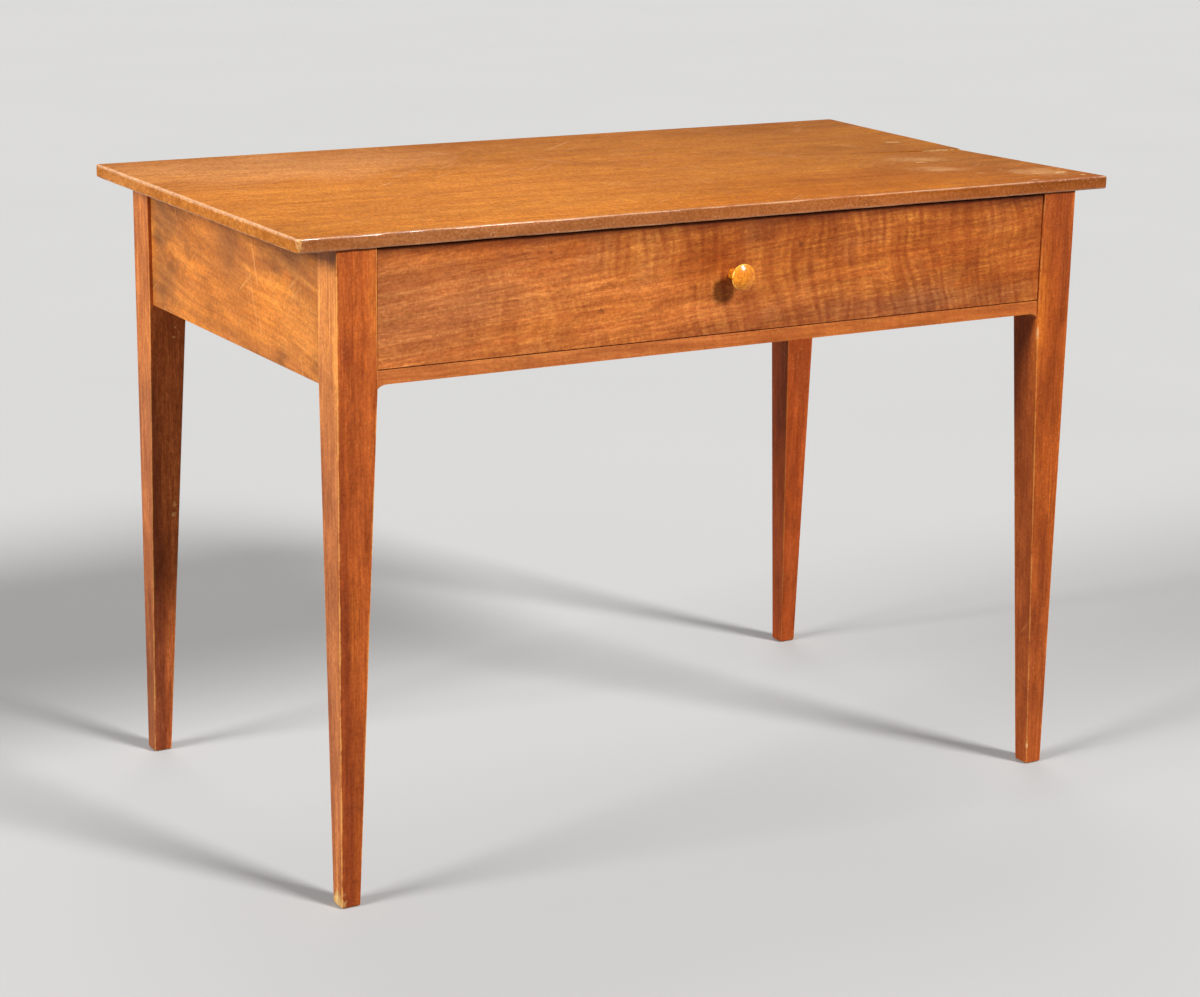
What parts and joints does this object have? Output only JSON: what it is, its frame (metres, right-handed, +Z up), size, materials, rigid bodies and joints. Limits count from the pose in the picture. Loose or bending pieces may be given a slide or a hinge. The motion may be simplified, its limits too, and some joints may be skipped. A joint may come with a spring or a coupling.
{
  "type": "work table",
  "caption": "Work table with square tapered legs, a thin top that overhangs at the ends, and a wide drawer under the top that slides out by a turned wooden knob.",
  "frame": {"origin": "on the floor, under the middle of the whole table with the drawer shut, knob included", "axes": "+X along the table's length to the right as seen from the drawer side, +Y from the drawer side to the back, +Z up"},
  "size_m": [1.0176, 0.576, 0.711],
  "materials": {
    "top_wood": "worn satin varnish on orange-brown hardwood",
    "leg_wood": "worn satin varnish on red-brown hardwood",
    "apron_wood": "worn satin varnish on golden-brown hardwood",
    "rail_wood": "worn satin varnish on orange-brown hardwood",
    "drawer_face_wood": "satin varnish on curly red-brown hardwood",
    "inside_wood": "bare softwood, aged",
    "knob_wood": "glossy varnish on golden hardwood",
    "screw_iron": "dull, darkened",
    "nail_iron": "dull, darkened"
  },
  "bodies": {
    "table_frame": {"front_left_leg": "leg_wood", "front_right_leg": "leg_wood", "rear_left_leg": "leg_wood", "rear_right_leg": "leg_wood", "left_apron": "apron_wood", "right_apron": "apron_wood", "rear_apron": "apron_wood", "front_rail": "rail_wood", "left_runner": "inside_wood", "right_runner": "inside_wood", "left_guide": "inside_wood", "right_guide": "inside_wood", "left_stop": "inside_wood", "right_stop": "inside_wood", "left_front_guide_screw": "screw_iron", "left_rear_guide_screw": "screw_iron", "right_front_guide_screw": "screw_iron", "right_rear_guide_screw": "screw_iron", "top_front_board": "top_wood", "top_rear_board": "top_wood", "left_front_top_screw": "screw_iron", "left_rear_top_screw": "screw_iron", "right_front_top_screw": "screw_iron", "right_rear_top_screw": "screw_iron", "rear_left_top_screw": "screw_iron", "rear_middle_top_screw": "screw_iron", "rear_right_top_screw": "screw_iron"},
    "drawer": {"drawer_front": "drawer_face_wood", "drawer_left_side": "inside_wood", "drawer_right_side": "inside_wood", "drawer_back": "inside_wood", "drawer_bottom": "inside_wood", "bottom_left_nail": "nail_iron", "bottom_middle_nail": "nail_iron", "bottom_right_nail": "nail_iron", "drawer_knob": "knob_wood", "knob_wedge": "inside_wood"}
  },
  "joints": [
    {"name": "drawer_slide", "type": "slide", "parent": "table_frame", "child": "drawer", "axis": [0, -1, 0], "range_m": [0, 0.38]}
  ]
}
